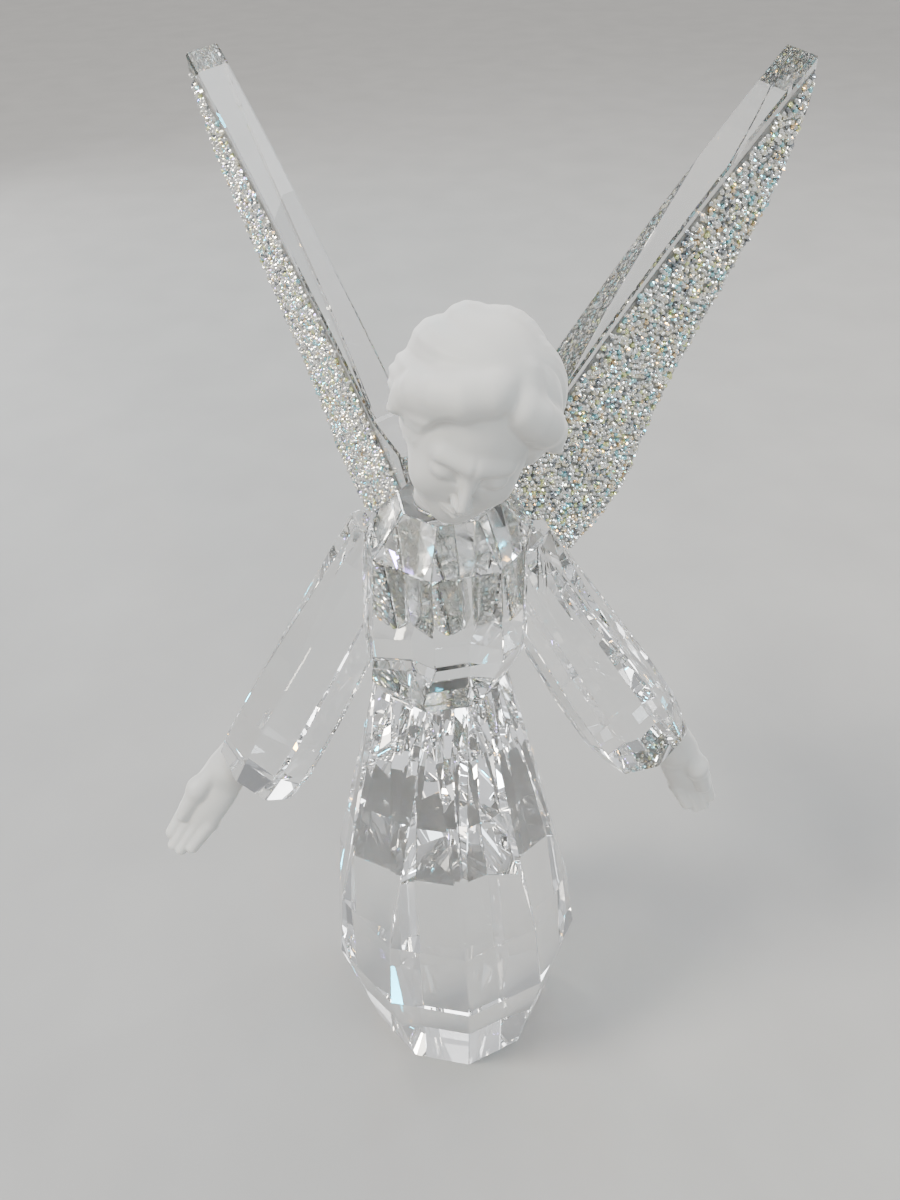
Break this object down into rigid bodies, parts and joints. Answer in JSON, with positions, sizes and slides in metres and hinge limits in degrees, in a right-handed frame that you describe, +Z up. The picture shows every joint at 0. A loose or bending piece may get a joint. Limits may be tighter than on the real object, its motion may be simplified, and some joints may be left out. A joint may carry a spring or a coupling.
{
  "type": "crystal angel figurine",
  "caption": "Free-standing angel figurine in cut clear crystal, with satin glass head and hands and raised wings set with small crystals.",
  "frame": {"origin": "centre of the flat base, on the surface that the figurine stands on", "axes": "+Z up through the skirt's axis; the figure faces -Y; +X towards the figure's own left hand"},
  "size_m": [0.0945, 0.0758, 0.1793],
  "materials": {
    "clear_crystal": "polished clear cut crystal",
    "satin_glass": "satin frosted crystal",
    "set_crystals": "small foil-backed cut crystals set in clear resin",
    "clear_adhesive": "cured clear adhesive"
  },
  "bodies": {
    "root": {"skirt": "clear_crystal", "bodice": "clear_crystal", "head": "satin_glass", "left_sleeve": "clear_crystal", "right_sleeve": "clear_crystal", "left_hand": "satin_glass", "right_hand": "satin_glass", "left_wing": "clear_crystal", "right_wing": "clear_crystal", "left_wing_stones": "set_crystals", "right_wing_stones": "set_crystals", "waist_bond": "clear_adhesive", "neck_bond": "clear_adhesive", "left_shoulder_bond": "clear_adhesive", "right_shoulder_bond": "clear_adhesive", "left_wrist_bond": "clear_adhesive", "right_wrist_bond": "clear_adhesive", "left_wing_bond": "clear_adhesive", "right_wing_bond": "clear_adhesive"}
  },
  "joints": []
}
